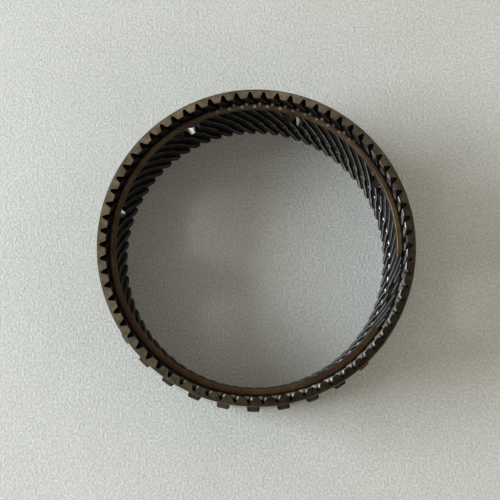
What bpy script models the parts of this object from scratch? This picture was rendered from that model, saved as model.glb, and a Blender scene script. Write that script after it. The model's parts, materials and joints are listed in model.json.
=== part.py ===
"""Transmission ring gear with the snap ring that sits in its inner groove.

The gear stands on its lower end, with its axis on +Z and its origin at the middle of that end.
A bearing is an angle in degrees, clockwise from +Y as seen from above. Sizes are in millimetres
here and become metres where the points are made.
"""
from math import acos, atan, atan2, cos, degrees, pi, radians, sin, tan

import bmesh
import bpy

MM = 0.001

# Gear blank
HEIGHT = 54.0
WALL = 1.15
RIM_CHAMFER = 0.5

# Internal helical teeth. The tip and root factors are shares of the module, as in any gear standard.
TEETH = 70
NORMAL_MODULE = 1.5
NORMAL_PRESSURE_ANGLE = 20.0
HELIX_ANGLE = 24.84
PROFILE_SHIFT = 0.19
COUPLING_ADDENDUM = 0.3
MAIN_ADDENDUM = 0.53
MESH_ADDENDUM = 0.95
DEDENDUM = 1.33
FIRST_TOOTH_BEARING = 0.15
TOP_TOOTH_CHAMFER = 0.35
END_CHAMFER_RISE = 1.1
END_CHAMFER_DEPTH = 0.8

# Zones of the teeth: the coupling teeth down from the top face, the mesh zone up from the lower end
COUPLING_TEETH_LENGTH = 6.6
MESH_ZONE_LENGTH = 13.8
MESH_ZONE_RAMP = 1.9

# Snap ring and the groove that holds it
RING_THICKNESS = 2.7
RING_WIDTH = 4.3
RING_SEAT_CLEARANCE = 0.3
RING_HEADROOM = 1.3
RING_EDGE_CLEARANCE = 0.65
RING_SHIFT_NORTH = 0.35
RING_GAP_FROM = 94.2
RING_GAP_TO = 123.6
RING_END_SLANT_FROM = 49.0
RING_END_SLANT_TO = 25.0
RING_SEGMENTS = 96
GROOVE_BEYOND_ROOT = 0.15

# Oil holes through the teeth and the wall
HOLES = 8
HOLE_DIAMETER = 10.4
HOLE_DEPTH = 24.5
HOLE_BEARING = 16.4
HOLE_SEGMENTS = 24
HOLE_OVERRUN = 3.0

# Outer drive lugs
LUGS = 32
LUG_BEARING = 0.9
LUG_PROJECTION = 4.7
LUG_BASE_WIDTH = 5.9
LUG_TIP_WIDTH = 5.1
LUG_LENGTH = 15.9
LUG_FOOT_HEIGHT = 2.5
LUG_CHAMFER = 1.0

TRANSVERSE_MODULE = NORMAL_MODULE / cos(radians(HELIX_ANGLE))
PITCH_RADIUS = TEETH * TRANSVERSE_MODULE / 2
TOOTH_THICKNESS = TRANSVERSE_MODULE * (pi / 2 + 2 * PROFILE_SHIFT * tan(radians(NORMAL_PRESSURE_ANGLE)))
ROOT_RADIUS = PITCH_RADIUS + DEDENDUM * NORMAL_MODULE
COUPLING_TIP_RADIUS = PITCH_RADIUS - COUPLING_ADDENDUM * NORMAL_MODULE
MAIN_TIP_RADIUS = PITCH_RADIUS - MAIN_ADDENDUM * NORMAL_MODULE
MESH_TIP_RADIUS = PITCH_RADIUS - MESH_ADDENDUM * NORMAL_MODULE
RIM_RADIUS = ROOT_RADIUS + WALL
GROOVE_RADIUS = ROOT_RADIUS + GROOVE_BEYOND_ROOT
GROOVE_WIDTH = RING_SEAT_CLEARANCE + RING_THICKNESS + RING_HEADROOM
RING_OUTER_RADIUS = GROOVE_RADIUS - RING_EDGE_CLEARANCE
RING_INNER_RADIUS = RING_OUTER_RADIUS - RING_WIDTH
LUG_RADIUS = RIM_RADIUS + LUG_PROJECTION
LUG_TOP = LUG_FOOT_HEIGHT + LUG_LENGTH
TOOTH_PITCH = 360.0 / TEETH
LUG_PITCH = 360.0 / LUGS
GROOVE_SEGMENTS = 2 * TEETH
SHARP_ANGLE = 25.0


def point(radius, bearing, height):
    """A point in metres from a radius and a height in millimetres and a bearing in degrees."""
    turn = radians(bearing)
    return (radius * sin(turn) * MM, radius * cos(turn) * MM, height * MM)


def arc_angle(width, radius):
    """The angle in degrees that a width takes up on a radius."""
    return degrees(width / radius)


def involute(angle):
    return tan(angle) - angle


def half_space(radius):
    """Half the angle of the involute space between two teeth, at a radius."""
    transverse = atan(tan(radians(NORMAL_PRESSURE_ANGLE)) / cos(radians(HELIX_ANGLE)))
    base_radius = PITCH_RADIUS * cos(transverse)
    at_pitch = TOOTH_PITCH / 2 - arc_angle(TOOTH_THICKNESS, PITCH_RADIUS) / 2
    growth = involute(acos(base_radius / radius)) - involute(transverse)
    return at_pitch - degrees(growth)


def twist(height):
    """How far the teeth have turned at a height: none at the top, clockwise going down."""
    return arc_angle((HEIGHT - height) * tan(radians(HELIX_ANGLE)), PITCH_RADIUS)


def closed_loop(mesh, points):
    """Vertices joined into a closed ring of edges."""
    verts = [mesh.verts.new(p) for p in points]
    for here, after in zip(verts, verts[1:] + verts[:1]):
        mesh.edges.new((here, after))
    return verts


def tooth_loop(mesh, height, tip_radius):
    """The outline of all the teeth at one height, from root to tip to root round each tooth."""
    flank_radius = (ROOT_RADIUS + COUPLING_TIP_RADIUS) / 2
    outline = ((ROOT_RADIUS, -1), (flank_radius, -1), (tip_radius, -1),
               (tip_radius, 1), (flank_radius, 1), (ROOT_RADIUS, 1))
    points = []
    for tooth in range(TEETH):
        middle = FIRST_TOOTH_BEARING + tooth * TOOTH_PITCH + twist(height)
        for radius, side in outline:
            half_tooth = TOOTH_PITCH / 2 - half_space(radius)
            points.append(point(radius, middle + side * half_tooth, height))
    return closed_loop(mesh, points)


def groove_loop(mesh, height):
    step = 360.0 / GROOVE_SEGMENTS
    points = [point(GROOVE_RADIUS, k * step, height) for k in range(GROOVE_SEGMENTS)]
    return closed_loop(mesh, points)


def wall_loop(mesh, height, radius):
    """A circle of the outer wall, with points at both feet of every lug."""
    foot = arc_angle(LUG_BASE_WIDTH, RIM_RADIUS) / 2
    land = LUG_PITCH - 2 * foot
    offsets = (-foot, 0.0, foot, foot + land / 3, foot + land * 2 / 3)
    points = []
    for lug in range(LUGS):
        for offset in offsets:
            points.append(point(radius, LUG_BEARING + lug * LUG_PITCH + offset, height))
    return closed_loop(mesh, points)


def loft(mesh, upper, lower):
    """Faces between two loops with the same number of points."""
    count = len(upper)
    faces = []
    for k in range(count):
        nxt = (k + 1) % count
        faces.append(mesh.faces.new((upper[k], upper[nxt], lower[nxt], lower[k])))
    return faces


def flat_ring(mesh, loop_a, loop_b):
    """A flat face between two loops at one height that need not match point for point."""
    edges = []
    for loop in (loop_a, loop_b):
        for here, after in zip(loop, loop[1:] + loop[:1]):
            edges.append(mesh.edges.get((here, after)))
    bmesh.ops.triangle_fill(mesh, edges=edges, use_beauty=True, normal=(0, 0, 1))


def tooth_zone(mesh, sections):
    """The toothed wall through a row of heights and tip radii, top to bottom, and its end loops."""
    loops = [tooth_loop(mesh, height, tip_radius) for height, tip_radius in sections]
    for above, below in zip(loops, loops[1:]):
        loft(mesh, above, below)
    return loops[0], loops[-1]


def inner_surface(mesh):
    """Coupling teeth, groove, main teeth and the longer teeth of the mesh zone, top to bottom."""
    groove_top = HEIGHT - COUPLING_TEETH_LENGTH
    groove_floor = groove_top - GROOVE_WIDTH
    ramp_top = MESH_ZONE_LENGTH + MESH_ZONE_RAMP

    top, coupling_end = tooth_zone(mesh, (
        (HEIGHT, COUPLING_TIP_RADIUS + TOP_TOOTH_CHAMFER),
        (HEIGHT - TOP_TOOTH_CHAMFER, COUPLING_TIP_RADIUS),
        (groove_top, COUPLING_TIP_RADIUS)))
    groove_upper = groove_loop(mesh, groove_top)
    groove_lower = groove_loop(mesh, groove_floor)
    flat_ring(mesh, coupling_end, groove_upper)
    loft(mesh, groove_upper, groove_lower)

    main_start, bottom = tooth_zone(mesh, (
        (groove_floor, MAIN_TIP_RADIUS),
        ((groove_floor + ramp_top) / 2, MAIN_TIP_RADIUS),
        (ramp_top, MAIN_TIP_RADIUS),
        (MESH_ZONE_LENGTH, MESH_TIP_RADIUS),
        (END_CHAMFER_RISE, MESH_TIP_RADIUS),
        (0.0, MESH_TIP_RADIUS + END_CHAMFER_DEPTH)))
    flat_ring(mesh, groove_lower, main_start)
    return top, bottom


def raise_lugs(mesh, band):
    """Pull each lug out of the wall band that it stands on: a straight step, then a chamfer."""
    foot_half = arc_angle(LUG_BASE_WIDTH, RIM_RADIUS) / 2
    tip_half = arc_angle(LUG_TIP_WIDTH, LUG_RADIUS) / 2
    steps = ((LUG_RADIUS - LUG_CHAMFER, 0.0), (LUG_RADIUS, LUG_CHAMFER))
    points_per_lug = len(band) // LUGS
    for lug in range(LUGS):
        middle = LUG_BEARING + lug * LUG_PITCH
        faces = band[lug * points_per_lug:lug * points_per_lug + 2]
        for radius, inset in steps:
            out = (radius - RIM_RADIUS) / (LUG_RADIUS - RIM_RADIUS)
            half = foot_half + (tip_half - foot_half) * out
            result = bmesh.ops.extrude_face_region(mesh, geom=faces)["geom"]
            bmesh.ops.delete(mesh, geom=faces, context="FACES_ONLY")
            faces = [item for item in result if isinstance(item, bmesh.types.BMFace)]
            for vert in [item for item in result if isinstance(item, bmesh.types.BMVert)]:
                side = round(offset_from(middle, vert.co) / half)
                upper = vert.co.z / MM > LUG_FOOT_HEIGHT + LUG_LENGTH / 2
                height = LUG_TOP - inset if upper else LUG_FOOT_HEIGHT + inset
                vert.co = point(radius, middle + side * half, height)


def offset_from(bearing, co):
    """The angle from a bearing to a point, from -180 to 180 degrees."""
    return (degrees(atan2(co.x, co.y)) - bearing + 180.0) % 360.0 - 180.0


def outer_surface(mesh):
    """The plain wall with a chamfer at each end, and the row of lugs round its lower part."""
    heights = ((HEIGHT, RIM_RADIUS - RIM_CHAMFER), (HEIGHT - RIM_CHAMFER, RIM_RADIUS),
               (LUG_TOP, RIM_RADIUS), (LUG_FOOT_HEIGHT, RIM_RADIUS),
               (RIM_CHAMFER, RIM_RADIUS), (0.0, RIM_RADIUS - RIM_CHAMFER))
    loops = [wall_loop(mesh, height, radius) for height, radius in heights]
    bands = [loft(mesh, upper, lower) for upper, lower in zip(loops, loops[1:])]
    raise_lugs(mesh, bands[2])
    return loops[0], loops[-1]


def finish_mesh(mesh, name):
    """Turn the faces outward, make them triangles and keep them as a named mesh."""
    bmesh.ops.recalc_face_normals(mesh, faces=mesh.faces)
    bmesh.ops.triangulate(mesh, faces=mesh.faces)
    data = bpy.data.meshes.new(name)
    mesh.to_mesh(data)
    mesh.free()
    data.shade_smooth()
    data.set_sharp_from_angle(angle=radians(SHARP_ANGLE))
    return data


def steel(name, colour, roughness):
    material = bpy.data.materials.new(name)
    material.use_nodes = True
    shader = material.node_tree.nodes["Principled BSDF"]
    shader.inputs["Base Color"].default_value = (*colour, 1.0)
    shader.inputs["Metallic"].default_value = 1.0
    shader.inputs["Roughness"].default_value = roughness
    material.diffuse_color = (*colour, 1.0)
    return material


def add_object(name, data, material=None):
    item = bpy.data.objects.new(name, data)
    bpy.context.scene.collection.objects.link(item)
    if material:
        data.materials.append(material)
    return item


def hole_cutters():
    """One round tool for each oil hole, running through the teeth and the wall."""
    mesh = bmesh.new()
    reach = (MESH_TIP_RADIUS - HOLE_OVERRUN, LUG_RADIUS + HOLE_OVERRUN)
    for hole in range(HOLES):
        turn = radians(HOLE_BEARING + hole * 360.0 / HOLES)
        ends = []
        for radius in reach:
            ring = []
            for step in range(HOLE_SEGMENTS):
                around = 2 * pi * step / HOLE_SEGMENTS
                across = HOLE_DIAMETER / 2 * cos(around)
                height = HEIGHT - HOLE_DEPTH + HOLE_DIAMETER / 2 * sin(around)
                x = radius * sin(turn) + across * cos(turn)
                y = radius * cos(turn) - across * sin(turn)
                ring.append(mesh.verts.new((x * MM, y * MM, height * MM)))
            ends.append(ring)
        loft(mesh, ends[0], ends[1])
        mesh.faces.new(ends[0])
        mesh.faces.new(ends[1])
    bmesh.ops.recalc_face_normals(mesh, faces=mesh.faces)
    data = bpy.data.meshes.new("hole_cutters")
    mesh.to_mesh(data)
    mesh.free()
    cutters = add_object("hole_cutters", data)
    cutters.hide_render = True
    cutters.display_type = "WIRE"
    return cutters


def ring_gear():
    mesh = bmesh.new()
    teeth_top, teeth_bottom = inner_surface(mesh)
    wall_top, wall_bottom = outer_surface(mesh)
    flat_ring(mesh, teeth_top, wall_top)
    flat_ring(mesh, teeth_bottom, wall_bottom)
    data = finish_mesh(mesh, "ring_gear")
    gear = add_object("ring_gear", data, steel("gear_steel", (0.16, 0.14, 0.125), 0.42))
    holes = gear.modifiers.new("oil holes", "BOOLEAN")
    holes.operation = "DIFFERENCE"
    holes.solver = "EXACT"
    holes.object = hole_cutters()
    return gear


def snap_ring():
    """A flat open ring of rectangular section, resting on the groove floor, its ends cut aslant."""
    floor = HEIGHT - COUPLING_TEETH_LENGTH - GROOVE_WIDTH + RING_SEAT_CLEARANCE
    corners = ((RING_INNER_RADIUS, floor + RING_THICKNESS), (RING_OUTER_RADIUS, floor + RING_THICKNESS),
               (RING_OUTER_RADIUS, floor), (RING_INNER_RADIUS, floor))
    sweep = 360.0 - (RING_GAP_TO - RING_GAP_FROM)
    mesh = bmesh.new()
    sections = []
    for step in range(RING_SEGMENTS + 1):
        share = step / RING_SEGMENTS
        section = []
        for radius, height in corners:
            set_back = radius - RING_INNER_RADIUS
            start = RING_GAP_TO + arc_angle(set_back * tan(radians(RING_END_SLANT_TO)), radius)
            end = RING_GAP_TO + sweep - arc_angle(set_back * tan(radians(RING_END_SLANT_FROM)), radius)
            x, y, z = point(radius, start + (end - start) * share, height)
            section.append(mesh.verts.new((x, y + RING_SHIFT_NORTH * MM, z)))
        sections.append(section)
    for here, after in zip(sections, sections[1:]):
        loft(mesh, here, after)
    mesh.faces.new(sections[0])
    mesh.faces.new(sections[-1])
    data = finish_mesh(mesh, "snap_ring")
    return add_object("snap_ring", data, steel("ring_steel", (0.15, 0.095, 0.05), 0.45))


for old in list(bpy.data.objects):
    bpy.data.objects.remove(old, do_unlink=True)
ring_gear()
snap_ring()
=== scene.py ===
# %% [markdown]
# A ring gear of an automatic transmission: a steel ring with slanting teeth inside, drive lugs
# outside, and an open snap ring in a groove near the top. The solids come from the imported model,
# which fixes every size. Here both pieces are modelled again with finer edges and real finishes.

# %% Load the fixed frame
from math import acos, atan, atan2, cos, degrees, pi, radians, sin, tan
import json

import bmesh
import bpy
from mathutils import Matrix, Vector

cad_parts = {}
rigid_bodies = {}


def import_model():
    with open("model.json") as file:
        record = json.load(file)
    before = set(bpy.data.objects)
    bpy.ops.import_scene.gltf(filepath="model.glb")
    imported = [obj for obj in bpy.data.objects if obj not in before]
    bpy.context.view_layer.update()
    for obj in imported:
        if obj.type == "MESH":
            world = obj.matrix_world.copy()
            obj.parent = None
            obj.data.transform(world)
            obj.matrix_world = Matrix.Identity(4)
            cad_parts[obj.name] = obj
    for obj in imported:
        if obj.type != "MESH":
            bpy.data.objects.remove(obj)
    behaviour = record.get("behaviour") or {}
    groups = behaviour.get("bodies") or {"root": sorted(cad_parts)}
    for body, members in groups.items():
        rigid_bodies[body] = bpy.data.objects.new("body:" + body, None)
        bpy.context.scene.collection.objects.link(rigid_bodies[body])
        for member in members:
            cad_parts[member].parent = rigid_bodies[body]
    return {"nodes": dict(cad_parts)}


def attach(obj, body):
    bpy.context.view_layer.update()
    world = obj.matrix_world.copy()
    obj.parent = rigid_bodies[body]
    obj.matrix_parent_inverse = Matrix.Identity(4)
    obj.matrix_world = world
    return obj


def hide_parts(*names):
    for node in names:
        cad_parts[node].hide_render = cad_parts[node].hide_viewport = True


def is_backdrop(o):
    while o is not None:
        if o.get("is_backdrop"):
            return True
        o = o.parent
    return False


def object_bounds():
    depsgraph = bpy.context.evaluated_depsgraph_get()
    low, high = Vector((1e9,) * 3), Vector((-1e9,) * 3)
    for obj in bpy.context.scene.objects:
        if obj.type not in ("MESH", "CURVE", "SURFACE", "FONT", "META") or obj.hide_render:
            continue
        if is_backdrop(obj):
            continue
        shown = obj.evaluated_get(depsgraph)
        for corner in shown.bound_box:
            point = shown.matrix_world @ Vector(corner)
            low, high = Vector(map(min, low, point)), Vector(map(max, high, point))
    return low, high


for leftover in list(bpy.data.objects):
    bpy.data.objects.remove(leftover, do_unlink=True)
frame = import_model()
cad_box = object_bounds()
print("frame nodes:", sorted(frame["nodes"]))

# %% [markdown]
# The camera looks down into the gear from a little in front of its middle, which is why the far
# wall of the bore shows more than the near one. Its place was found by matching the tooth gaps
# and the lower edge of the bore. A lens of 61 mm gives the mild perspective of the picture.

# %% Camera
MM = 0.001
HEIGHT = 54.0
CAMERA_PLACE = (-3.2, -37.3, HEIGHT + 321.9)
CAMERA_TILT, CAMERA_LEAN = 6.26, -0.13

bpy.ops.object.camera_add(location=[part * MM for part in CAMERA_PLACE],
                          rotation=(radians(CAMERA_TILT), radians(CAMERA_LEAN), 0.0))
camera = bpy.context.object
camera.name = "camera"
camera.data.sensor_width = 36.0
camera.data.lens = 61.2
camera.data.clip_start = 0.01
camera.data.clip_end = 10.0
bpy.context.scene.camera = camera
print("camera height above the floor in mm:", round(camera.location.z / MM))

# %% [markdown]
# Finishes are built from shader nodes, and a few small functions save typing. Each of them adds
# its nodes to the tree that the names nodes and links stand for at that moment, so a cell that
# starts a new material only has to set these two names first.

# %% Node helpers for every finish
def new_material(name):
    """An empty node material: its nodes, its links and its Principled shader."""
    material = bpy.data.materials.new(name)
    material.use_nodes = True
    tree = material.node_tree
    return material, tree.nodes, tree.links, tree.nodes["Principled BSDF"]


def ramp(value, stops):
    """Colour a value by the given (place, colour) stops."""
    node = nodes.new("ShaderNodeValToRGB")
    elements = node.color_ramp.elements
    elements[0].position, elements[0].color = stops[0][0], (*stops[0][1], 1.0)
    elements[1].position, elements[1].color = stops[-1][0], (*stops[-1][1], 1.0)
    for place, colour in stops[1:-1]:
        elements.new(place).color = (*colour, 1.0)
    links.new(value, node.inputs["Fac"])
    return node.outputs["Color"]


def noise(vector, scale, detail=4.0, roughness=0.6):
    node = nodes.new("ShaderNodeTexNoise")
    node.inputs["Scale"].default_value = scale
    node.inputs["Detail"].default_value = detail
    node.inputs["Roughness"].default_value = roughness
    links.new(vector, node.inputs["Vector"])
    return node.outputs["Fac"]


def mixed(share, first, second, mode="MIX"):
    """Mix two colours; each is a tuple or another node's output."""
    node = nodes.new("ShaderNodeMix")
    node.data_type = "RGBA"
    node.blend_type = mode
    if isinstance(share, (int, float)):
        node.inputs["Factor"].default_value = share
    else:
        links.new(share, node.inputs["Factor"])
    for socket, colour in ((node.inputs["A"], first), (node.inputs["B"], second)):
        if isinstance(colour, tuple):
            socket.default_value = (*colour, 1.0)
        else:
            links.new(colour, socket)
    return node.outputs["Result"]


def roughen(height, strength, distance):
    """Give the newest shader a fine relief."""
    bump = nodes.new("ShaderNodeBump")
    bump.inputs["Strength"].default_value = strength
    bump.inputs["Distance"].default_value = distance
    links.new(height, bump.inputs["Height"])
    links.new(bump.outputs["Normal"], shader.inputs["Normal"])


print("helpers for finishes are ready")

# %% [markdown]
# The gear lies on a pale sheet with a fine grain. A plane is enough for it, and two noise
# textures, one fine and one broad, give the grain and the faint clouds. The fine one also makes
# a slight relief, so that the grain catches the light like leathery paper. The floor is marked
# as stage, because it isn't part of the gear.

# %% Floor
GRAIN = [(0.36, (0.53, 0.542, 0.525)), (0.52, (0.62, 0.632, 0.612)), (0.67, (0.78, 0.79, 0.77))]
CLOUDS = [(0.3, (0.93, 0.93, 0.92)), (0.7, (1.0, 1.0, 1.0))]
FLOOR_WIDTH = 3.0
BELOW_GEAR = 0.2

bpy.ops.mesh.primitive_plane_add(size=FLOOR_WIDTH, location=(0.0, 0.0, -BELOW_GEAR * MM))
floor = bpy.context.object
floor.name = "floor"
sheet, nodes, links, shader = new_material("pale sheet")
coordinates = nodes.new("ShaderNodeTexCoord").outputs["Object"]
grit = noise(coordinates, 950.0, 3.0, 0.75)
grain = ramp(grit, GRAIN)
clouds = ramp(noise(coordinates, 16.0), CLOUDS)
links.new(mixed(1.0, grain, clouds, "MULTIPLY"), shader.inputs["Base Color"])
shader.inputs["Roughness"].default_value = 0.75
roughen(grit, 1.0, 0.001)
floor.data.materials.append(sheet)
floor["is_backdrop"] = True
print("floor is", round(floor.dimensions.x, 1), "m wide")

# %% [markdown]
# The picture has one large soft light on the left, about 35 degrees above the floor and wide like
# a window. It leaves the left half of the bore's floor in shade and lays a soft shadow outside on
# the right. Its width blurs the spots that shine through the oil holes. The room around fills in
# with a warmer, weaker light. Overhead, where the camera hangs, the room is dark, and flat steel
# mirrors that: the world's colour is mixed by how near a direction is to that dark patch.

# %% Light
KEY_PLACE = (-1.04, 0.07, 0.745)
KEY_HEIGHT, KEY_WIDTH = 0.46, 0.74
KEY_POWER = 20.3
DARK_PATCH = (0.1, -0.13, 0.985)
ROOM = [(0.0, (0.16, 0.15, 0.13)), (0.42, (0.16, 0.15, 0.13)), (0.55, (1.0, 0.93, 0.8)),
        (0.87, (1.0, 0.93, 0.8)), (0.92, (0.28, 0.26, 0.22)), (0.965, (0.02, 0.018, 0.016))]
ROOM_STRENGTH = 0.98

bpy.ops.object.light_add(type="AREA", location=KEY_PLACE)
key = bpy.context.object
key.name = "key light"
key.data.shape = "RECTANGLE"
key.data.size = KEY_HEIGHT
key.data.size_y = KEY_WIDTH
key.data.energy = KEY_POWER
key.data.color = (0.88, 0.95, 1.0)
key.rotation_euler = (0.0, -atan2(-KEY_PLACE[0], KEY_PLACE[2]), -atan2(KEY_PLACE[1], -KEY_PLACE[0]))

world = bpy.data.worlds.new("warm room")
world.use_nodes = True
nodes, links = world.node_tree.nodes, world.node_tree.links
background = nodes["Background"]
direction = nodes.new("ShaderNodeTexCoord").outputs["Generated"]
overhead = nodes.new("ShaderNodeVectorMath")
overhead.operation = "DOT_PRODUCT"
overhead.inputs[1].default_value = Vector(DARK_PATCH).normalized()
links.new(direction, overhead.inputs[0])
links.new(ramp(overhead.outputs["Value"], ROOM), background.inputs["Color"])
background.inputs["Strength"].default_value = ROOM_STRENGTH
bpy.context.scene.world = world
bpy.context.scene.view_settings.view_transform = "Standard"
print("key light power:", round(key.data.energy, 1))

# %% [markdown]
# A gear starts with its numbers. The module is the size of a tooth; with the tooth count and the
# slant it gives the pitch circle, and a few factors give the tips and the roots. The packed
# solid was made from the same numbers, so the finer teeth below lie on top of it.

# %% Numbers of the gear
TEETH = 70
MODULE = 1.5
PRESSURE_ANGLE = radians(20.0)
HELIX_ANGLE = radians(24.84)
PROFILE_SHIFT = 0.19
DEDENDUM = 1.33
COUPLING_ADDENDUM, MAIN_ADDENDUM, MESH_ADDENDUM = 0.3, 0.53, 0.95
WALL_THICKNESS = 1.15
GROOVE_CUT = 0.15
GROOVE_BELOW_TOP = 6.6
GROOVE_WIDTH = 4.3

TRANSVERSE_MODULE = MODULE / cos(HELIX_ANGLE)
PITCH_RADIUS = TEETH * TRANSVERSE_MODULE / 2
TOOTH_THICKNESS = TRANSVERSE_MODULE * (pi / 2 + 2 * PROFILE_SHIFT * tan(PRESSURE_ANGLE))
ROOT_RADIUS = PITCH_RADIUS + DEDENDUM * MODULE
COUPLING_TIP = PITCH_RADIUS - COUPLING_ADDENDUM * MODULE
MAIN_TIP = PITCH_RADIUS - MAIN_ADDENDUM * MODULE
MESH_TIP = PITCH_RADIUS - MESH_ADDENDUM * MODULE
RIM_RADIUS = ROOT_RADIUS + WALL_THICKNESS
GROOVE_RADIUS = ROOT_RADIUS + GROOVE_CUT
GROOVE_TOP = HEIGHT - GROOVE_BELOW_TOP
GROOVE_FLOOR = GROOVE_TOP - GROOVE_WIDTH
RAMP_TOP = 15.7
RAMP_BOTTOM = 13.8
TOOTH_PITCH = 360.0 / TEETH
HALF_PITCH = radians(TOOTH_PITCH / 2)
FIRST_TOOTH = 0.15
print("pitch radius", round(PITCH_RADIUS, 3), "root", round(ROOT_RADIUS, 3), "rim", round(RIM_RADIUS, 3))

# %% [markdown]
# The flank of a gear tooth is an involute, the curve that the end of a taut string draws as it
# unwinds from a circle. The function below gives half the angle that a tooth takes up at any
# radius. It is widest at the root, because the teeth point inwards. The corners at the tip and
# at the root are eased by a small angle, since no cutter leaves them quite sharp.

# %% Shape of one tooth
FLANK_SHARES = (0.05, 0.36, 0.68, 0.94)
TIP_EASE, ROOT_EASE = 0.08, 0.09


def involute(angle):
    return tan(angle) - angle


def half_tooth(radius):
    """Half the angle, in degrees, that a tooth takes up at a radius."""
    transverse = atan(tan(PRESSURE_ANGLE) / cos(HELIX_ANGLE))
    base = PITCH_RADIUS * cos(transverse)
    growth = involute(acos(base / radius)) - involute(transverse)
    return degrees(TOOTH_THICKNESS / PITCH_RADIUS / 2 + growth)


def tooth_profile(tip, narrower=0.0, root=ROOT_RADIUS):
    """Radius and angle of the 16 points round one tooth, from its middle to the next gap."""
    height = ROOT_RADIUS - tip
    edge = half_tooth(tip) - narrower
    flank = [tip + height * share for share in FLANK_SHARES]
    side = [(tip, edge * 0.5), (tip, edge - TIP_EASE)]
    side += [(radius, half_tooth(radius) - narrower) for radius in flank]
    side.append((root, half_tooth(ROOT_RADIUS) + ROOT_EASE))
    return [(tip, 0.0)] + side + [(root, TOOTH_PITCH / 2)] + [(r, -a) for r, a in reversed(side)]


POINTS = len(tooth_profile(MAIN_TIP))
print("points round one tooth:", POINTS, " half a tooth at the tip:", round(half_tooth(MAIN_TIP), 3))

# %% [markdown]
# Some moves come back again and again: picking one object, picking points, turning about the
# gear's axis, copying round it, and cutting one shape out of another. Each gets a short name
# here, so that the cells below read like the steps at a workbench.

# %% Helpers for modelling
def only(item):
    """Select one object and make it active, with nothing else selected."""
    bpy.ops.object.select_all(action="DESELECT")
    item.select_set(True)
    bpy.context.view_layer.objects.active = item


def bearing_of(co):
    """Angle of a point in degrees, clockwise from +Y as seen from above."""
    return degrees(atan2(co.x, co.y))


def select_points(test):
    """Select the points of the mesh in edit mode for which the test holds."""
    mesh = bmesh.from_edit_mesh(bpy.context.object.data)
    for vert in mesh.verts:
        vert.select_set(bool(test(vert)))
    mesh.select_flush(True)
    bmesh.update_edit_mesh(bpy.context.object.data)


def turn(angle):
    """Turn the selection clockwise about the axis of the gear."""
    bpy.ops.transform.rotate(value=radians(angle), orient_axis="Z", center_override=(0.0, 0.0, 0.0))


def scale_out(factor):
    """Scale the selection away from the axis of the gear, and leave its height alone."""
    bpy.ops.transform.resize(value=(factor, factor, 1.0), center_override=(0.0, 0.0, 0.0))


def copy_round(count):
    """Copy the selection round the axis until there are this many; the spin tool only copies here."""
    bpy.ops.mesh.spin(steps=count - 1, dupli=True, angle=2 * pi * (count - 1) / count,
                      center=(0.0, 0.0, 0.0), axis=(0.0, 0.0, 1.0))


def cut_away(body, tool):
    """Cut the tool's shape out of the body with a Boolean, and put the tool away."""
    only(body)
    cut = body.modifiers.new("cut", "BOOLEAN")
    cut.operation = "DIFFERENCE"
    cut.solver = "EXACT"
    cut.object = tool
    bpy.ops.object.modifier_apply(modifier=cut.name)
    bpy.data.objects.remove(tool, do_unlink=True)
    only(body)


def open_edges(mesh):
    return sum(1 for edge in mesh.edges if not edge.is_manifold)


print("helpers for modelling are ready")

# %% [markdown]
# The teeth are grown from a plain circle. It has 16 points for each tooth, and each point keeps
# a number that says which place round its tooth it has. All points with the same number are
# pulled to their radius and turned to their angle at once, so 16 small moves shape 70 teeth.
# A stretched circle would be slower to draw by hand, and an array of 70 teeth would leave seams.

# %% Circle with numbered points
bpy.ops.object.select_all(action="DESELECT")
bpy.ops.mesh.primitive_circle_add(vertices=TEETH * POINTS, radius=ROOT_RADIUS * MM,
                                  location=(0.0, 0.0, HEIGHT * MM))
gear = bpy.context.object
gear.name = "toothed_ring"
bpy.ops.object.transform_apply(location=True, rotation=True, scale=True)
place = gear.data.attributes.new("place", "INT", "POINT")
gear.data.attributes.new("loop", "INT", "POINT")
for vert in gear.data.vertices:
    place.data[vert.index].value = round(bearing_of(vert.co) * TEETH * POINTS / 360.0) % POINTS
bpy.ops.object.mode_set(mode="EDIT")
bpy.ops.mesh.select_mode(type="VERT")
bpy.ops.mesh.select_all(action="SELECT")
turn(FIRST_TOOTH)
probe = bmesh.from_edit_mesh(gear.data)
nearest = min(abs(bearing_of(vert.co)) for vert in probe.verts)
print("points:", len(probe.verts), " first bearing:", round(nearest, 3))

# %% [markdown]
# Two helpers do all the work from here. One reshapes the loop that was made last from one tooth
# profile to another. The other extrudes that loop downwards and turns it a little, which is how
# a straight tooth becomes a slanting one.

# %% Helpers that grow the teeth
circle_profile = [(ROOT_RADIUS, ((k + 8) % POINTS - 8) * TOOTH_PITCH / POINTS) for k in range(POINTS)]
circle_profile[8] = (ROOT_RADIUS, TOOTH_PITCH / 2)
last = {"height": HEIGHT, "profile": circle_profile, "loop": 0}


def select_loop(number=None):
    """Select the newest loop of points, or only those with one place in their tooth."""
    mesh = bmesh.from_edit_mesh(gear.data)
    loops, places = mesh.verts.layers.int["loop"], mesh.verts.layers.int["place"]
    for vert in mesh.verts:
        vert.select_set(vert[loops] == last["loop"] and (number is None or vert[places] == number))
    mesh.select_flush(True)
    bmesh.update_edit_mesh(gear.data)


def reshape(profile):
    """Give the newest loop another tooth profile."""
    for number in range(POINTS):
        old_radius, old_angle = last["profile"][number]
        radius, angle = profile[number]
        if abs(radius - old_radius) > 1e-6 or abs(angle - old_angle) > 1e-6:
            select_loop(number)
            turn(angle - old_angle)
            scale_out(radius / old_radius)
    last["profile"] = profile


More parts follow.
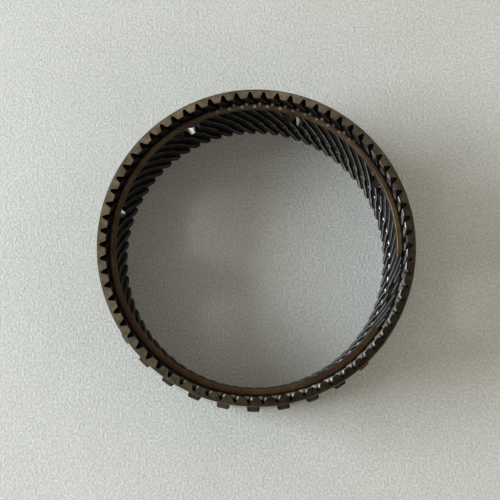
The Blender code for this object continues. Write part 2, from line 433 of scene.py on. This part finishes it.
def grow_to(height, profile=None, steps=1):
    """Extrude the newest loop down to a height in steps, turning it with the helix."""
    drop = (last["height"] - height) / steps
    for step in range(steps):
        select_loop()
        bpy.ops.mesh.extrude_region_move(TRANSFORM_OT_translate={"value": (0.0, 0.0, -drop * MM)})
        last["loop"] += 1
        mesh = bmesh.from_edit_mesh(gear.data)
        loops = mesh.verts.layers.int["loop"]
        for vert in [vert for vert in mesh.verts if vert.select]:
            vert[loops] = last["loop"]
        if drop:
            turn(degrees(drop * tan(HELIX_ANGLE) / PITCH_RADIUS))
    last["height"] = height
    if profile:
        reshape(profile)


whole_turn = degrees(HEIGHT * tan(HELIX_ANGLE) / PITCH_RADIUS)
print("helix turn over the whole height:", round(whole_turn, 2), "degrees")

# %% [markdown]
# Now the bore is grown from the top down: the short coupling teeth with a small chamfer at their
# upper end, the groove for the snap ring, the long main teeth, the ramp where the teeth become
# taller, and the mesh zone with its rounded lower ends. The ramp starts with a short steep facet,
# which catches the light as a bright spot on each tooth. A chamfer shortens and narrows a tooth.

# %% The bore, from top to bottom
SLIMMER = 0.1
ROOT_RELIEF = 0.1
END_CHAMFER = 0.2
GROOVE_CHAMFER = 0.3
FACET_DROP, FACET_REACH = 0.12, 0.2
LOWER_CHAMFER_TOP, LOWER_CHAMFER_MIDDLE = 1.1, 0.45

reshape(tooth_profile(COUPLING_TIP + 0.22, narrower=SLIMMER, root=ROOT_RADIUS + ROOT_RELIEF))
grow_to(HEIGHT - END_CHAMFER, tooth_profile(COUPLING_TIP))
grow_to(GROOVE_TOP + GROOVE_CHAMFER, steps=3)
grow_to(GROOVE_TOP, tooth_profile(COUPLING_TIP + 0.25, narrower=SLIMMER))
grow_to(GROOVE_TOP, [(GROOVE_RADIUS, angle) for radius, angle in tooth_profile(COUPLING_TIP)])
grow_to(GROOVE_FLOOR, steps=2)
grow_to(GROOVE_FLOOR, tooth_profile(MAIN_TIP + 0.3, narrower=SLIMMER))
grow_to(GROOVE_FLOOR - GROOVE_CHAMFER, tooth_profile(MAIN_TIP))
grow_to(RAMP_TOP, steps=14)
grow_to(RAMP_TOP - FACET_DROP, tooth_profile(MAIN_TIP - FACET_REACH))
grow_to(RAMP_BOTTOM, tooth_profile(MESH_TIP))
grow_to(LOWER_CHAMFER_TOP, steps=7)
grow_to(LOWER_CHAMFER_MIDDLE, tooth_profile(MESH_TIP + 0.22, narrower=0.12))
grow_to(0.0, tooth_profile(MESH_TIP + 0.8, narrower=0.35, root=ROOT_RADIUS + ROOT_RELIEF))
bpy.ops.object.mode_set(mode="OBJECT")

bottom = [vert.co for vert in gear.data.vertices if vert.co.z < 1e-6]
low_tip = min(bottom, key=lambda co: co.length)
print("loops:", last["loop"] + 1, " faces:", len(gear.data.polygons))
print("a tip at the lower end: bearing", round(bearing_of(low_tip) % TOOTH_PITCH, 2),
      "radius", round(low_tip.length / MM, 2))

# %% [markdown]
# The outside of the ring is plain, apart from 32 lugs round its lower part that slide into a
# drum. Only one thirty-second of the wall is modelled: an arc is extruded upwards level by level.
# Its points are as close together as those of the bore, so that both can be joined later.

# %% One part of the outer wall
LUGS = 32
LUG_FOOT, LUG_TOP = 2.5, 18.4
RIM_CHAMFER = 0.5
step = 360.0 / (TEETH * POINTS)
steps_per_part = TEETH * POINTS // LUGS

bpy.ops.object.select_all(action="DESELECT")
bpy.ops.mesh.primitive_circle_add(vertices=TEETH * POINTS, radius=(RIM_RADIUS - RIM_CHAMFER) * MM)
wall = bpy.context.object
wall.name = "outer_wall"
bpy.ops.object.mode_set(mode="EDIT")
bpy.ops.mesh.select_mode(type="VERT")
turn(step / 2)
select_points(lambda vert: abs(bearing_of(vert.co)) > (steps_per_part / 2 + 0.25) * step)
bpy.ops.mesh.delete(type="VERT")
bpy.ops.mesh.select_all(action="SELECT")
wall_levels = [(RIM_CHAMFER, RIM_RADIUS), (LUG_FOOT, RIM_RADIUS), (LUG_TOP, RIM_RADIUS),
               ((LUG_TOP + HEIGHT) / 2, RIM_RADIUS), (HEIGHT - RIM_CHAMFER, RIM_RADIUS),
               (HEIGHT, RIM_RADIUS - RIM_CHAMFER)]
level, radius = 0.0, RIM_RADIUS - RIM_CHAMFER
for height, next_radius in wall_levels:
    bpy.ops.mesh.extrude_region_move(
        TRANSFORM_OT_translate={"value": (0.0, 0.0, (height - level) * MM)})
    scale_out(next_radius / radius)
    level, radius = height, next_radius
print("faces in the plain part:", len(bmesh.from_edit_mesh(wall.data).faces))

# %% [markdown]
# The lug is pulled out of the wall: the faces in its place are extruded, scaled away from the
# axis and narrowed, and its edges are bevelled. It stands on the Y axis for this, because there a
# stretch along X changes only its width.

# %% Lug
LUG_RADIUS = RIM_RADIUS + 4.68
LUG_TIP_WIDTH = 5.1
LUG_ROUNDING = 0.7
lug_half = 8.5 * step

mesh = bmesh.from_edit_mesh(wall.data)
bpy.ops.mesh.select_mode(type="FACE")
for face in mesh.faces:
    middle = face.calc_center_median()
    face.select_set(LUG_FOOT < middle.z / MM < LUG_TOP and abs(bearing_of(middle)) < lug_half)
bmesh.update_edit_mesh(wall.data)
bpy.ops.mesh.extrude_region_move(TRANSFORM_OT_translate={"value": (0.0, 0.0, 0.0)})
scale_out(LUG_RADIUS / RIM_RADIUS)
base_width = 2 * LUG_RADIUS * sin(radians(lug_half))
bpy.ops.transform.resize(value=(LUG_TIP_WIDTH / base_width, 1.0, 1.0), center_override=(0.0, 0.0, 0.0))
bpy.ops.mesh.select_mode(type="EDGE")
mesh = bmesh.from_edit_mesh(wall.data)
for edge in mesh.edges:
    farthest = max(vert.co.xy.length / MM for vert in edge.verts)
    sharp = len(edge.link_faces) == 2 and edge.calc_face_angle() > radians(40)
    edge.select_set(sharp and farthest > RIM_RADIUS + 1.0)
bmesh.update_edit_mesh(wall.data)
bpy.ops.mesh.bevel(offset=LUG_ROUNDING * MM, segments=3, profile=0.5, affect="EDGES")
print("faces in one part with its lug:", len(bmesh.from_edit_mesh(wall.data).faces))

# %% [markdown]
# The part is copied round the axis with the spin tool, which here only makes copies, and the
# points where neighbours touch are merged. The wall is then turned to the place of its lugs.

# %% The whole outer wall
LUG_BEARING = 0.9
MERGE_WITHIN = 0.004

bpy.ops.mesh.select_mode(type="VERT")
bpy.ops.mesh.select_all(action="SELECT")
copy_round(LUGS)
bpy.ops.mesh.select_all(action="SELECT")
bpy.ops.mesh.remove_doubles(threshold=MERGE_WITHIN * MM)
bpy.ops.mesh.select_all(action="SELECT")
turn(LUG_BEARING)
bpy.ops.object.mode_set(mode="OBJECT")
print("wall points:", len(wall.data.vertices),
      " width over the lugs in mm:", round(wall.dimensions.x / MM, 2))

# %% [markdown]
# Bore and wall become one body: the two meshes are joined, and the open loops at the top and at
# the bottom are bridged. The loops have 1120 points each, so each bridge is a clean row of
# quads, which is the flat end face.

# %% End faces
only(gear)
wall.select_set(True)
bpy.ops.object.join()
bpy.ops.object.mode_set(mode="EDIT")
bpy.ops.mesh.select_mode(type="EDGE")
for level in (HEIGHT, 0.0):
    mesh = bmesh.from_edit_mesh(gear.data)
    for edge in mesh.edges:
        flat = all(abs(vert.co.z / MM - level) < 0.001 for vert in edge.verts)
        edge.select_set(edge.is_boundary and flat)
    bmesh.update_edit_mesh(gear.data)
    bpy.ops.mesh.bridge_edge_loops()
bpy.ops.mesh.select_all(action="SELECT")
bpy.ops.mesh.normals_make_consistent(inside=False)
mesh = bmesh.from_edit_mesh(gear.data)
print("open edges:", open_edges(mesh), " faces:", len(mesh.faces))
bpy.ops.object.mode_set(mode="OBJECT")

# %% [markdown]
# Eight round oil holes run through the teeth and the wall. A hole is cut with a Boolean, as a
# drill would cut it, because it crosses slanting teeth in a shape that nobody wants to draw. The
# drill is one cylinder that lies along the radius, copied eight times.

# %% Oil holes
HOLES = 8
HOLE_RADIUS = 5.2
HOLE_HEIGHT = HEIGHT - 24.5
HOLE_BEARING = 16.4
DRILL_LENGTH = 20.0
SMOOTH_GEAR = 30

bpy.ops.object.select_all(action="DESELECT")
bpy.ops.mesh.primitive_cylinder_add(vertices=64, radius=HOLE_RADIUS * MM, depth=DRILL_LENGTH * MM,
                                    location=(0.0, RIM_RADIUS * MM, HOLE_HEIGHT * MM),
                                    rotation=(radians(90), 0.0, 0.0))
drill = bpy.context.object
drill.name = "drill"
bpy.ops.object.transform_apply(location=True, rotation=True, scale=True)
bpy.ops.object.mode_set(mode="EDIT")
bpy.ops.mesh.select_all(action="SELECT")
turn(HOLE_BEARING)
copy_round(HOLES)
bpy.ops.object.mode_set(mode="OBJECT")
cut_away(gear, drill)
bpy.ops.object.shade_smooth_by_angle(angle=radians(SMOOTH_GEAR))
triangles = sum(len(face.vertices) - 2 for face in gear.data.polygons)
print("gear triangles:", triangles, " height in mm:", round(gear.dimensions.z / MM, 2))

# %% [markdown]
# The snap ring is a flat ring of spring steel, cut open, that keeps a hub from sliding out. Its
# section is a small rectangle with rounded corners, slanted for one end of the ring. The spin
# tool sweeps that section round the ring's own centre, which lies a little off the gear's axis,
# as a loose ring rests in its groove. It is swept a little too far, and sawn off afterwards.

# %% Snap ring
RING_OUTER = GROOVE_RADIUS - 0.65
RING_WIDTH = 4.3
RING_INNER = RING_OUTER - RING_WIDTH
RING_THICKNESS = 2.7
RING_FLOOR = GROOVE_FLOOR + 0.3
RING_MIDDLE = RING_FLOOR + RING_THICKNESS / 2
RING_NORTH = 0.35
RING_ROUNDING = 0.45
GAP_FROM, GAP_TO = 94.2, 123.6
SLANT_FROM, SLANT_TO = radians(49.0), radians(25.0)
SWEPT_TOO_FAR = 2.5


def print_ring(mesh):
    """Say where the gap of the ring lies, and whether its mesh is closed."""
    bearings = [bearing_of(vert.co) % 360 for vert in mesh.verts]
    start = max(bearing for bearing in bearings if bearing < 110)
    end = min(bearing for bearing in bearings if bearing > 110)
    print("gap from", round(start, 1), "to", round(end, 1), " open edges:", open_edges(mesh))


bpy.ops.object.select_all(action="DESELECT")
bpy.ops.mesh.primitive_plane_add(size=1.0, rotation=(0.0, radians(90), 0.0),
                                 location=(0.0, (RING_INNER + RING_WIDTH / 2) * MM, RING_MIDDLE * MM))
ring = bpy.context.object
ring.name = "open_ring"
ring.scale = (RING_THICKNESS * MM, RING_WIDTH * MM, 1.0)
bpy.ops.object.transform_apply(location=True, rotation=True, scale=True)
bpy.ops.object.mode_set(mode="EDIT")
bpy.ops.mesh.select_mode(type="VERT")
bpy.ops.mesh.select_all(action="SELECT")
bpy.ops.mesh.bevel(offset=RING_ROUNDING * MM, segments=5, profile=0.5, affect="VERTICES")
select_points(lambda vert: vert.co.y / MM > RING_OUTER - 0.5)
bpy.ops.transform.translate(value=(RING_WIDTH * tan(SLANT_TO) * MM, 0.0, 0.0))
bpy.ops.mesh.select_all(action="SELECT")
turn(GAP_TO)
bpy.ops.transform.translate(value=(0.0, RING_NORTH * MM, 0.0))
sweep = 360.0 - (GAP_TO - GAP_FROM)
bpy.ops.mesh.spin(steps=300, angle=radians(sweep + SWEPT_TOO_FAR),
                  center=(0.0, RING_NORTH * MM, 0.0), axis=(0.0, 0.0, 1.0))
print_ring(bmesh.from_edit_mesh(ring.data))
bpy.ops.object.mode_set(mode="OBJECT")

# %% [markdown]
# Both ends of the snap ring are cut aslant, so that its inner corners point into the gap. The
# spin gave one end its slant already. The other end is sawn off with a Boolean: one side of a
# box lies on the slanting plane, and whatever the box covers is taken away. A Boolean leaves a
# closed end, and a box is easy to turn to any slant.

# %% Slanted end of the snap ring
SAW_LENGTH, SAW_DEPTH, SAW_HEIGHT = 14.0, 10.0, 6.0
SMOOTH_RING = 35


def ring_point(radius, bearing):
    """A point at a radius and a bearing from the ring's own centre."""
    turned = radians(bearing)
    return Vector((radius * sin(turned) * MM, (radius * cos(turned) + RING_NORTH) * MM, 0.0))


inner_corner = ring_point(RING_INNER, GAP_FROM)
set_back = degrees(RING_WIDTH * tan(SLANT_FROM) / RING_OUTER)
across = ring_point(RING_OUTER, GAP_FROM - set_back) - inner_corner
into_gap = Vector((across.y, -across.x, 0.0)).normalized()
saw_place = inner_corner + across / 2 + into_gap * SAW_DEPTH * MM / 2
saw_place.z = RING_MIDDLE * MM
bpy.ops.object.select_all(action="DESELECT")
bpy.ops.mesh.primitive_cube_add(size=1.0, location=saw_place,
                                rotation=(0.0, 0.0, atan2(across.y, across.x)))
saw = bpy.context.object
saw.name = "saw"
saw.scale = (SAW_LENGTH * MM, SAW_DEPTH * MM, SAW_HEIGHT * MM)
bpy.ops.object.transform_apply(location=True, rotation=True, scale=True)
cut_away(ring, saw)
bpy.ops.object.mode_set(mode="EDIT")
bpy.ops.mesh.select_all(action="SELECT")
bpy.ops.mesh.normals_make_consistent(inside=False)
print_ring(bmesh.from_edit_mesh(ring.data))
bpy.ops.object.mode_set(mode="OBJECT")
bpy.ops.object.shade_smooth_by_angle(angle=radians(SMOOTH_RING))

# %% [markdown]
# The steel looks different at tips, roots, holes, wall and faces, and all of that follows from
# where a point lies. So the finish is made from masks, numbers between 0 and 1 that say how much
# a point belongs to a zone. Painting each face would give hard borders that real steel doesn't
# have. The helpers below do sums with nodes; lengths in limits are given in millimetres.

# %% Node helpers for masks
def calc(operation, *values, clamp=False):
    """A maths node; each value is a number or another node's output."""
    node = nodes.new("ShaderNodeMath")
    node.operation = operation
    node.use_clamp = clamp
    for socket, value in zip(node.inputs, values):
        if isinstance(value, (int, float)):
            socket.default_value = value
        else:
            links.new(value, socket)
    return node.outputs[0]


def part_of(value, low, high, to_low=0.0, to_high=1.0):
    """Map a value from one span to another, without leaving the second."""
    node = nodes.new("ShaderNodeMapRange")
    node.clamp = True
    links.new(value, node.inputs["Value"])
    for name, number in (("From Min", low), ("From Max", high), ("To Min", to_low), ("To Max", to_high)):
        node.inputs[name].default_value = number
    return node.outputs["Result"]


def part_of_mm(value, low, high, to_low=0.0, to_high=1.0):
    """The same for a length, with its limits in millimetres."""
    return part_of(value, low * MM, high * MM, to_low, to_high)


def product(first, *others):
    """Masks multiplied: a point counts only where all of them hold."""
    for other in others:
        first = calc("MULTIPLY", first, other)
    return first


def largest(first, *others):
    """The strongest of several masks."""
    for other in others:
        first = calc("MAXIMUM", first, other)
    return first


def distance(first, second):
    return calc("SQRT", calc("ADD", calc("MULTIPLY", first, first), calc("MULTIPLY", second, second)))


def where():
    """A point's coordinates, their three parts, and its distance from the axis."""
    coordinates = nodes.new("ShaderNodeTexCoord").outputs["Object"]
    split = nodes.new("ShaderNodeSeparateXYZ")
    links.new(coordinates, split.inputs["Vector"])
    x, y, z = split.outputs
    return coordinates, x, y, z, distance(x, y)


def towards(east, north):
    """How far a point lies on one side of the gear, from -1 on the far side to 1 on this side."""
    return calc("DIVIDE", calc("ADD", calc("MULTIPLY", x, east), calc("MULTIPLY", y, north)), reach)


def stretched(vector, scale):
    """Coordinates stretched per axis, for streaks that follow one direction."""
    node = nodes.new("ShaderNodeMapping")
    node.inputs["Scale"].default_value = scale
    links.new(vector, node.inputs["Vector"])
    return node.outputs["Vector"]


def grey(value):
    node = nodes.new("ShaderNodeCombineColor")
    for socket in node.inputs:
        links.new(value, socket)
    return node.outputs["Color"]


print("helpers for masks are ready")

# %% [markdown]
# The gear is heat-treated steel with a dark oily skin. First the material works out where a point
# lies: how deep between tip and root of its tooth, how far from the corner of the tooth's land,
# and how far from the middle of the nearest oil hole. The land is the narrow face at the tip. The
# teeth slant, so the middle of a tooth moves round the axis with the height.

# %% Gear steel: where a point lies
steel, nodes, links, shader = new_material("gear steel")
coordinates, x, y, z, reach = where()
bearing = calc("ARCTAN2", x, y)
in_mesh = part_of_mm(z, RAMP_BOTTOM, RAMP_TOP, 1.0, 0.0)
in_coupling = part_of_mm(z, GROOVE_FLOOR + 1.0, GROOVE_TOP - 1.0)
upper_tip = calc("ADD", calc("MULTIPLY", in_coupling, (COUPLING_TIP - MAIN_TIP) * MM), MAIN_TIP * MM)
tip = calc("SUBTRACT", upper_tip, calc("MULTIPLY", in_mesh, (MAIN_TIP - MESH_TIP) * MM))
tooth_height = calc("SUBTRACT", ROOT_RADIUS * MM, tip)
depth = calc("DIVIDE", calc("SUBTRACT", reach, tip), tooth_height, clamp=True)

twist = calc("MULTIPLY", calc("SUBTRACT", HEIGHT * MM, z), tan(HELIX_ANGLE) / (PITCH_RADIUS * MM))
from_tooth = calc("SUBTRACT", calc("SUBTRACT", bearing, radians(FIRST_TOOTH)), twist)
across_tooth = calc("ABSOLUTE", calc("WRAP", from_tooth, HALF_PITCH, -HALF_PITCH))
half_land = part_of_mm(tip, MESH_TIP, COUPLING_TIP,
                       radians(half_tooth(MESH_TIP)), radians(half_tooth(COUPLING_TIP)))
to_corner = calc("MULTIPLY", calc("SUBTRACT", half_land, across_tooth), reach)

half_hole_pitch = radians(360.0 / HOLES) / 2
from_hole_bearing = calc("SUBTRACT", bearing, radians(HOLE_BEARING))
beside_hole = calc("WRAP", from_hole_bearing, half_hole_pitch, -half_hole_pitch)
along = calc("MULTIPLY", calc("SINE", beside_hole), reach)
above = calc("SUBTRACT", z, HOLE_HEIGHT * MM)
from_hole = distance(along, above)
print("nodes that place a point:", len(nodes))

# %% [markdown]
# The teeth are dark, and darker towards the root. Three noise textures break everything up:
# broad patches, a middle mottle and a fine grit. The mottle also shifts the depth a little, so the
# borders between the tones wander.

# %% Gear steel: dark teeth
LAND = (0.022, 0.021, 0.022)
FLANK = (0.022, 0.019, 0.018)
ROOT = (0.01, 0.009, 0.009)

patches = noise(coordinates, 55.0, 3.0, 0.5)
mottle = noise(coordinates, 260.0, 5.0, 0.65)
fine = noise(coordinates, 1500.0, 3.0, 0.6)
mottled_depth = calc("ADD", depth, part_of(mottle, 0.3, 0.7, -0.06, 0.06), clamp=True)
colour = ramp(mottled_depth, [(0.06, LAND), (0.16, FLANK), (0.55, FLANK), (0.95, ROOT)])
print("tones of a tooth:", LAND, FLANK, ROOT)

# %% [markdown]
# The long corners of the teeth get thin pale lines, a painted highlight for light glinting on
# worn corners, stronger on the east side, which faces the light. The steep facet at the top of the
# ramp gets a painted highlight too. On the south side it is painted paler, because there it faces
# away from the light.

# %% Gear steel: painted highlights on corners and facets
HIGHLIGHT_PALE = (0.95, 0.93, 0.9)
FACET_HIGHLIGHT = (0.24, 0.235, 0.225)

# Painted highlight on the tooth corners, stronger towards the east, where the light falls.
corner = product(part_of_mm(to_corner, 0.1, 0.22, 1.0, 0.0),
                 part_of(depth, 0.08, 0.12, 1.0, 0.0),
                 part_of(mottle, 0.35, 0.6, 0.35, 1.0),
                 part_of_mm(x, -10.0, 40.0, 0.3, 1.0),
                 part_of(in_coupling, 0.0, 1.0, 1.0, 0.3))
# Painted highlight on the steep ramp facet.
facet_highlight = product(part_of_mm(z, RAMP_TOP - 0.3, RAMP_TOP - 0.25),
                part_of_mm(z, RAMP_TOP + 0.02, RAMP_TOP + 0.06, 1.0, 0.0),
                part_of_mm(to_corner, 0.45, 0.65),
                part_of_mm(x, -10.0, 25.0, 0.1, 1.0))
# The facet's painted highlight is paler in the south, which faces away from the light.
facet_highlight_colour = mixed(part_of_mm(y, -40.0, -10.0, 1.0, 0.0), FACET_HIGHLIGHT, HIGHLIGHT_PALE)
colour = mixed(facet_highlight, mixed(corner, colour, HIGHLIGHT_PALE), facet_highlight_colour)
print("nodes so far:", len(nodes))

# %% [markdown]
# The walls of the oil holes get painted shade. In the north half each hole gets a small painted
# highlight low on one side, where the light reaches in. It is a mask of its
# own, laid out by the distance beside and above the middle of the hole.

# %% Gear steel: walls of the oil holes
HOLE_SHADE = (0.05, 0.047, 0.044)
HOLE_HIGHLIGHT = (0.45, 0.44, 0.42)

# Painted shade: the walls of the holes are darkened.
bored = part_of_mm(from_hole, HOLE_RADIUS + 0.08, HOLE_RADIUS + 0.14, 1.0, 0.0)
# Painted highlight low on one side of each hole in the north, where the light reaches in.
hole_highlight = product(part_of_mm(along, 0.0, 0.6),
                part_of_mm(along, 1.5, 2.2, 1.0, 0.0),
                part_of_mm(y, 0.0, 5.0),
                part_of_mm(above, -4.2, -3.8, 1.0, 0.0))
colour = mixed(bored, colour, mixed(hole_highlight, HOLE_SHADE, HOLE_HIGHLIGHT))
# The colour printed here is the painted highlight in the holes.
print("bare steel in the holes:", HOLE_HIGHLIGHT)

# %% [markdown]
# The coupling teeth get painted highlights. On the south side two short bright bands on their
# sides are painted glints, which look like pearls from above. On the east side, where the light
# falls, pale patches on the narrow land are painted highlight, partly also wear from the hub. The
# ends of the teeth at the very bottom are a little browner.

# %% Gear steel: painted highlights on the coupling teeth, and lower ends
WEAR_AND_GLINT = (1.0, 0.95, 0.86)
LOW_END = (0.06, 0.045, 0.04)

two_bands = calc("ADD", part_of_mm(z, HEIGHT - 1.8, HEIGHT - 1.3),
                 part_of_mm(z, HEIGHT - 2.9, HEIGHT - 2.4, 1.0, 0.0))
# Painted glints on the flanks in the south, where the light strikes them.
pearl_glints = product(part_of(towards(0.42, -0.91), 0.45, 0.8),
                 part_of(mottled_depth, 0.35, 0.6, 1.0, 0.0),
                 part_of(depth, 0.03, 0.1),
                 two_bands)
# Painted highlight on the lands in the east, where the light falls; partly wear from the hub.
pale_land_glint = product(part_of(towards(0.94, -0.34), 0.3, 0.8, 0.0, 0.5),
                    part_of(mottled_depth, 0.06, 0.16, 1.0, 0.0),
                    part_of(mottle, 0.44, 0.56))
wear_and_glint = product(largest(pearl_glints, pale_land_glint), in_coupling, part_of(mottle, 0.35, 0.55, 0.3, 1.0))
colour = mixed(wear_and_glint, colour, WEAR_AND_GLINT)
low_end = product(part_of_mm(z, 0.5, 1.6, 1.0, 0.0), part_of(mottle, 0.35, 0.6, 0.3, 1.0))
colour = mixed(low_end, colour, LOW_END)
print("nodes so far:", len(nodes))

# %% [markdown]
# The outer wall was turned on a lathe, which leaves fine streaks round it: noise that is squeezed
# along the axis and stretched round it. The faces of the lugs are worn pale where they slide in
# the drum, and the chamfer at the upper edge is as bare as the upper face.

# %% Gear steel: outer wall and lugs
WALL = (0.035, 0.027, 0.021)
TURNED = (0.11, 0.092, 0.076)
LUG_WORN = (0.19, 0.17, 0.15)
TOP_FACE = (0.22, 0.184, 0.13)
STREAKS = (0.06, 0.06, 2.2)

on_wall = part_of_mm(reach, RIM_RADIUS - 0.35, RIM_RADIUS - 0.2)
outer = mixed(part_of(patches, 0.35, 0.65), WALL, tuple(1.7 * part for part in WALL))
turning = noise(stretched(coordinates, STREAKS), 900.0, 3.0, 0.6)
outer = mixed(part_of(turning, 0.42, 0.68, 0.0, 0.55), outer, TURNED)
lug_worn = product(part_of_mm(reach, LUG_RADIUS - 0.3, LUG_RADIUS - 0.1), part_of(mottle, 0.4, 0.62))
outer = mixed(lug_worn, outer, LUG_WORN)
chamfer = product(part_of_mm(reach, RIM_RADIUS - RIM_CHAMFER, RIM_RADIUS - RIM_CHAMFER + 0.1),
                  part_of_mm(z, HEIGHT - RIM_CHAMFER - 0.1, HEIGHT - RIM_CHAMFER))
outer = mixed(chamfer, outer, TOP_FACE)
colour = mixed(product(on_wall, calc("SUBTRACT", 1.0, bored)), colour, outer)
print("nodes so far:", len(nodes))

# %% [markdown]
# The upper face is brown and mottled. It is painted paler towards the north-west, a painted sheen
# where the light grazes it, and painted darker on the opposite side. A broad stain darkens the
# whole gear in places, so that no two parts of it look alike.

# %% Gear steel: upper face and stain
on_top = part_of_mm(z, HEIGHT - 0.12, HEIGHT - 0.02)
top_colour = mixed(part_of(mottle, 0.38, 0.6), TOP_FACE, tuple(0.55 * part for part in TOP_FACE))
# Painted sheen: the upper face is made paler to the north-west and darker to the south-east.
lit = part_of(towards(-0.87, 0.5), -0.9, 0.4, 0.43, 1.38)
top_colour = mixed(1.0, top_colour, grey(lit), "MULTIPLY")
colour = mixed(on_top, colour, top_colour)
stain = part_of(patches, 0.42, 0.68, 1.0, 0.65)
colour = mixed(1.0, colour, grey(stain), "MULTIPLY")
links.new(colour, shader.inputs["Base Color"])
print("tone of the upper face:", TOP_FACE)

# %% [markdown]
# The upper face, the hole walls, the worn and glinting teeth and the spots with painted
# highlights are a metal all through; the oily skin is a little less so. The painted highlights and
# the upper face are smoother, and the fine grit makes the shine uneven. The specular values take
# away the clear white gloss that the skin would have on top, and a slight relief breaks up what is
# left.

# %% Gear steel: shine and relief
full_metal = largest(on_top, wear_and_glint, largest(corner, facet_highlight, bored))
links.new(part_of(full_metal, 0.0, 1.0, 0.75, 1.0), shader.inputs["Metallic"])
smooth_facet = product(facet_highlight, part_of_mm(y, -45.0, -15.0))
smooth = largest(corner, smooth_facet, product(on_top, 0.85))
rough = calc("ADD", part_of(smooth, 0.0, 1.0, 0.5, 0.3), part_of(fine, 0.3, 0.7, -0.06, 0.08))
links.new(rough, shader.inputs["Roughness"])
shader.inputs["Specular IOR Level"].default_value = 0.2
shader.inputs["Specular Tint"].default_value = (0.45, 0.45, 0.45, 1.0)
roughen(calc("ADD", fine, mottle), 0.25, 0.00006)
gear.data.materials.clear()
gear.data.materials.append(steel)
print("gear steel nodes:", len(nodes))

# %% [markdown]
# The snap ring is spring steel that the hardening oven coloured. Broad noise mixes the tints, and
# a finer one sprinkles it with dark specks. On top of that, painted light makes it dark brown in the
# south and ochre towards the north. The band under the coupling teeth gets a painted shadow, and
# the inner edge in the north-west and in the east gets painted shade. The specks make both borders
# ragged.

# %% Ring steel: colour
TINTS = [(0.3, (0.1, 0.055, 0.032)), (0.46, (0.14, 0.086, 0.047)),
         (0.62, (0.24, 0.175, 0.105)), (0.8, (0.28, 0.22, 0.15))]
SPECK = (0.045, 0.03, 0.022)
GROOVE_SHADE = (0.02, 0.014, 0.011)
INNER_EDGE_SHADE = (0.03, 0.02, 0.013)

spring, nodes, links, shader = new_material("ring steel")
coordinates, x, y, z, reach = where()
broad = noise(coordinates, 60.0, 5.0, 0.65)
specks = noise(coordinates, 700.0, 4.0, 0.7)
# Painted light: the tints shift paler towards the north, the side that the light falls on.
north_light = part_of_mm(calc("ADD", y, calc("MULTIPLY", x, 0.2)), -57.0, 57.0, -0.19, 0.12)
colour = ramp(calc("ADD", broad, north_light), TINTS)
colour = mixed(part_of(specks, 0.42, 0.7, 0.0, 0.6), colour, SPECK)
reach = calc("ADD", reach, part_of(specks, 0.3, 0.7, -0.3 * MM, 0.3 * MM))
# Painted shadow of the coupling teeth on the band of the ring beneath them.
colour = mixed(part_of_mm(reach, COUPLING_TIP - 0.9, COUPLING_TIP - 0.1), colour, GROOVE_SHADE)
# Painted shade on the inner edge in the north-west and in the east.
shaded_sides = largest(part_of(towards(-0.7, 0.7), 0.1, 0.7, 0.0, 0.75),
                     part_of(towards(1.0, 0.0), 0.2, 0.7, 0.0, 0.5))
inner_edge_shade = product(part_of_mm(reach, 55.5, 56.2, 1.0, 0.0), shaded_sides)
colour = mixed(inner_edge_shade, colour, INNER_EDGE_SHADE)
print("tints of the ring:", len(TINTS))

# %% [markdown]
# In the north the ring gets two rows of painted spots of light, one for each tooth, where light
# falls through the gaps between the coupling teeth. Each is a soft spot round a point that repeats
# with the tooth pitch.

# %% Ring steel: painted spots of light, and shine
GAP_LIGHT = (0.75, 0.66, 0.52)
GAP_LIGHT_ROWS = ((57.4, 3.34), (56.45, 1.4))

bearing = calc("ARCTAN2", x, y)
groove_twist = GROOVE_BELOW_TOP * tan(HELIX_ANGLE) / PITCH_RADIUS
for row_radius, row_turn in GAP_LIGHT_ROWS:
    from_start = calc("SUBTRACT", bearing, radians(FIRST_TOOTH + row_turn) + groove_twist)
    beside_gap_light = calc("MULTIPLY", calc("WRAP", from_start, HALF_PITCH, -HALF_PITCH), row_radius * MM)
    from_gap_light = distance(beside_gap_light, calc("SUBTRACT", reach, row_radius * MM))
    # Painted light: soft spots where light through the gaps between the coupling teeth falls on the
    # ring.
    gap_light = product(part_of_mm(from_gap_light, 0.35, 0.75, 1.0, 0.0),
                   part_of(towards(0.22, 0.975), 0.84, 0.97),
                   part_of(broad, 0.38, 0.5, 0.35, 1.0))
    colour = mixed(gap_light, colour, GAP_LIGHT)
links.new(colour, shader.inputs["Base Color"])
shader.inputs["Metallic"].default_value = 1.0
links.new(part_of(specks, 0.3, 0.7, 0.34, 0.52), shader.inputs["Roughness"])
roughen(specks, 0.3, 0.00008)
ring.data.materials.clear()
ring.data.materials.append(spring)
print("ring steel nodes:", len(nodes))

# %% [markdown]
# Last, each new piece is fixed to the body of the imported model and takes the place of its plain
# solid. The distance between the upper corners of the new box and of the solid's box is printed.

# %% Hand over
for piece, node, slot in ((gear, "ring_gear", "gear_steel"), (ring, "snap_ring", "ring_steel")):
    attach(piece, "root")
    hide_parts(node)
visual_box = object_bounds()
difference = (visual_box[1] - cad_box[1]).length
print("corner of the new box to the solid's in mm:", round(difference / MM, 3))
